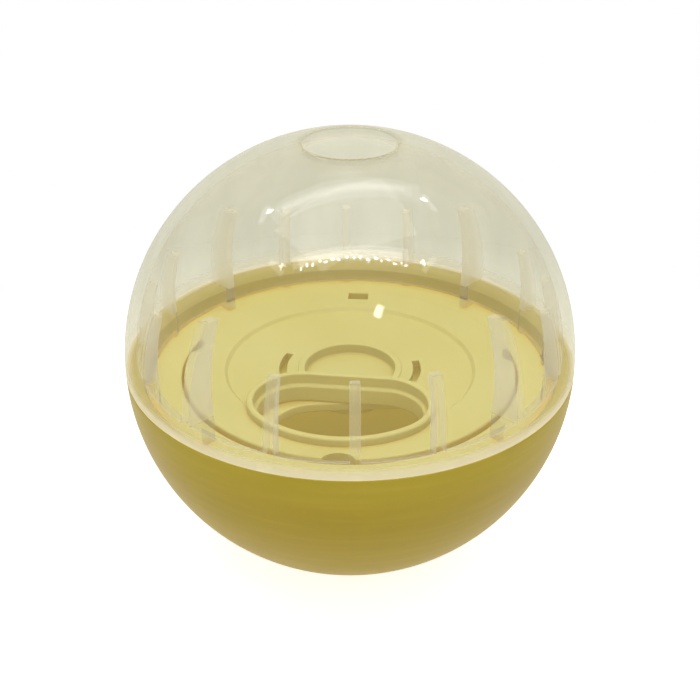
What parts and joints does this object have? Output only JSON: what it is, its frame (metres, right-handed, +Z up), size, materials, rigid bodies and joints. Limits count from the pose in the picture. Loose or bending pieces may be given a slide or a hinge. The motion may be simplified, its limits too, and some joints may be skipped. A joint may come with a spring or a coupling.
{
  "type": "treat ball",
  "caption": "Treat-dispensing pet ball: clear ribbed upper half with an outlet hole, yellow lower half, and a divider whose turning dial opens and closes a window.",
  "frame": {"origin": "centre of the ball, in the plane where the two halves meet", "axes": "+Z up through the outlet hole, -Y towards the side where the windows lie"},
  "size_m": [0.076, 0.076, 0.0744],
  "materials": {
    "clear_plastic": "clear gloss, slightly milky where it is thick",
    "yellow_plastic": "satin moulded",
    "pale_yellow_plastic": "satin moulded, slightly translucent"
  },
  "bodies": {
    "shell": {"lower_shell": "yellow_plastic"},
    "gate": {"gate_plate": "pale_yellow_plastic"},
    "dial": {"dial_disc": "pale_yellow_plastic", "pivot_pin": "pale_yellow_plastic"},
    "dome": {"clear_dome": "clear_plastic"}
  },
  "joints": [
    {"name": "gate_lift", "type": "slide", "parent": "shell", "child": "gate", "axis": [0, 0, 1], "range_m": [0, 0.03]},
    {"name": "dome_lift", "type": "slide", "parent": "gate", "child": "dome", "axis": [0, 0, 1], "range_m": [0, 0.05]},
    {"name": "dial_turn", "type": "hinge", "parent": "gate", "child": "dial", "pos_m": [0, 0, -0.0073], "axis": [0, 0, 1], "continuous": true}
  ]
}
